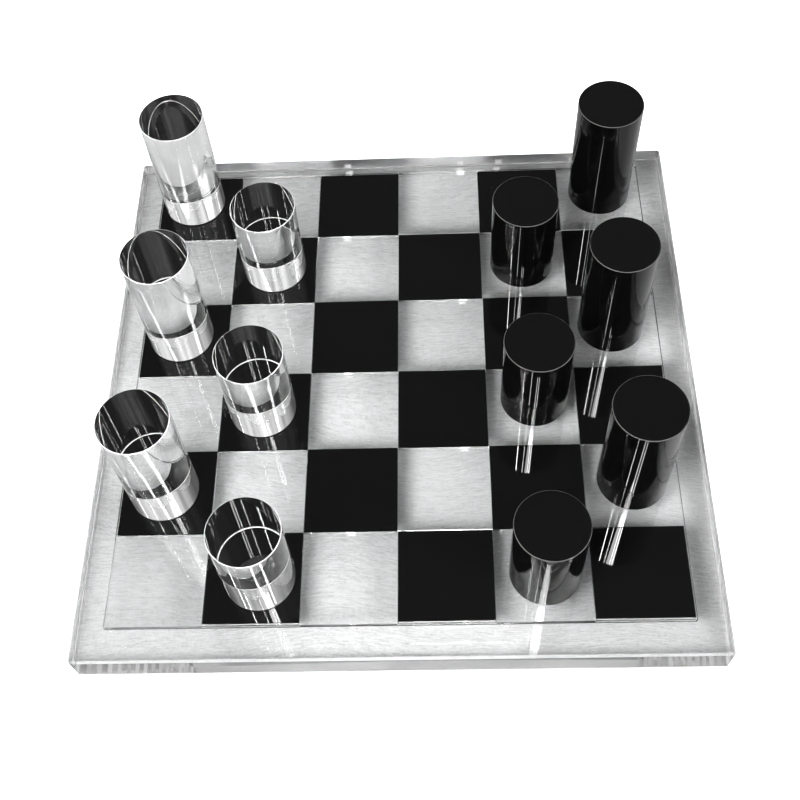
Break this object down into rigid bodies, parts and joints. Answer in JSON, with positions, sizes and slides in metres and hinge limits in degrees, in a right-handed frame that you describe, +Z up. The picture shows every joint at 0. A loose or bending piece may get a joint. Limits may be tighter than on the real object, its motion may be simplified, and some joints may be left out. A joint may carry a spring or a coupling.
{
  "type": "chess set with board",
  "caption": "Modernist strategy board set: clear acrylic slab with a raised field of clear and black squares, and plain clear and black upright cylinders, tall and short, standing on it.",
  "frame": {"origin": "centre of the board's underside, on the surface it stands on", "axes": "+Z up, +X from the clear pieces' side to the black pieces' side (file a to file f), +Y from rank 1 to rank 6"},
  "size_m": [0.342, 0.342, 0.1014],
  "materials": {
    "clear_acrylic_slab": "polished clear acrylic",
    "clear_acrylic_plate": "polished clear acrylic",
    "clear_acrylic_piece": "polished clear acrylic",
    "black_acrylic_inlay": "polished black acrylic",
    "black_acrylic_piece": "polished black acrylic",
    "pale_sheet": "pale sheet with a fine brushed grain"
  },
  "bodies": {
    "board": {"base_slab": "clear_acrylic_slab", "checker_plate": "clear_acrylic_plate", "backing_sheet": "pale_sheet", "black_inlay_b1": "black_acrylic_inlay", "black_inlay_d1": "black_acrylic_inlay", "black_inlay_f1": "black_acrylic_inlay", "black_inlay_a2": "black_acrylic_inlay", "black_inlay_c2": "black_acrylic_inlay", "black_inlay_e2": "black_acrylic_inlay", "black_inlay_b3": "black_acrylic_inlay", "black_inlay_d3": "black_acrylic_inlay", "black_inlay_f3": "black_acrylic_inlay", "black_inlay_a4": "black_acrylic_inlay", "black_inlay_c4": "black_acrylic_inlay", "black_inlay_e4": "black_acrylic_inlay", "black_inlay_b5": "black_acrylic_inlay", "black_inlay_d5": "black_acrylic_inlay", "black_inlay_f5": "black_acrylic_inlay", "black_inlay_a6": "black_acrylic_inlay", "black_inlay_c6": "black_acrylic_inlay", "black_inlay_e6": "black_acrylic_inlay"},
    "piece_a2": {"clear_tall_cylinder_a2": "clear_acrylic_piece"},
    "piece_a4": {"clear_tall_cylinder_a4": "clear_acrylic_piece"},
    "piece_a6": {"clear_tall_cylinder_a6": "clear_acrylic_piece"},
    "piece_b1": {"clear_short_cylinder_b1": "clear_acrylic_piece"},
    "piece_b3": {"clear_short_cylinder_b3": "clear_acrylic_piece"},
    "piece_b5": {"clear_short_cylinder_b5": "clear_acrylic_piece"},
    "piece_e1": {"black_short_cylinder_e1": "black_acrylic_piece"},
    "piece_e3": {"black_short_cylinder_e3": "black_acrylic_piece"},
    "piece_e5": {"black_short_cylinder_e5": "black_acrylic_piece"},
    "piece_f2": {"black_tall_cylinder_f2": "black_acrylic_piece"},
    "piece_f4": {"black_tall_cylinder_f4": "black_acrylic_piece"},
    "piece_f6": {"black_tall_cylinder_f6": "black_acrylic_piece"}
  },
  "joints": [
    {"name": "lift_a2", "type": "slide", "parent": "board", "child": "piece_a2", "axis": [0, 0, 1], "range_m": [0, 0.085]},
    {"name": "lift_a4", "type": "slide", "parent": "board", "child": "piece_a4", "axis": [0, 0, 1], "range_m": [0, 0.085]},
    {"name": "lift_a6", "type": "slide", "parent": "board", "child": "piece_a6", "axis": [0, 0, 1], "range_m": [0, 0.085]},
    {"name": "lift_b1", "type": "slide", "parent": "board", "child": "piece_b1", "axis": [0, 0, 1], "range_m": [0, 0.085]},
    {"name": "lift_b3", "type": "slide", "parent": "board", "child": "piece_b3", "axis": [0, 0, 1], "range_m": [0, 0.085]},
    {"name": "lift_b5", "type": "slide", "parent": "board", "child": "piece_b5", "axis": [0, 0, 1], "range_m": [0, 0.085]},
    {"name": "lift_e1", "type": "slide", "parent": "board", "child": "piece_e1", "axis": [0, 0, 1], "range_m": [0, 0.085]},
    {"name": "lift_e3", "type": "slide", "parent": "board", "child": "piece_e3", "axis": [0, 0, 1], "range_m": [0, 0.085]},
    {"name": "lift_e5", "type": "slide", "parent": "board", "child": "piece_e5", "axis": [0, 0, 1], "range_m": [0, 0.085]},
    {"name": "lift_f2", "type": "slide", "parent": "board", "child": "piece_f2", "axis": [0, 0, 1], "range_m": [0, 0.085]},
    {"name": "lift_f4", "type": "slide", "parent": "board", "child": "piece_f4", "axis": [0, 0, 1], "range_m": [0, 0.085]},
    {"name": "lift_f6", "type": "slide", "parent": "board", "child": "piece_f6", "axis": [0, 0, 1], "range_m": [0, 0.085]}
  ]
}
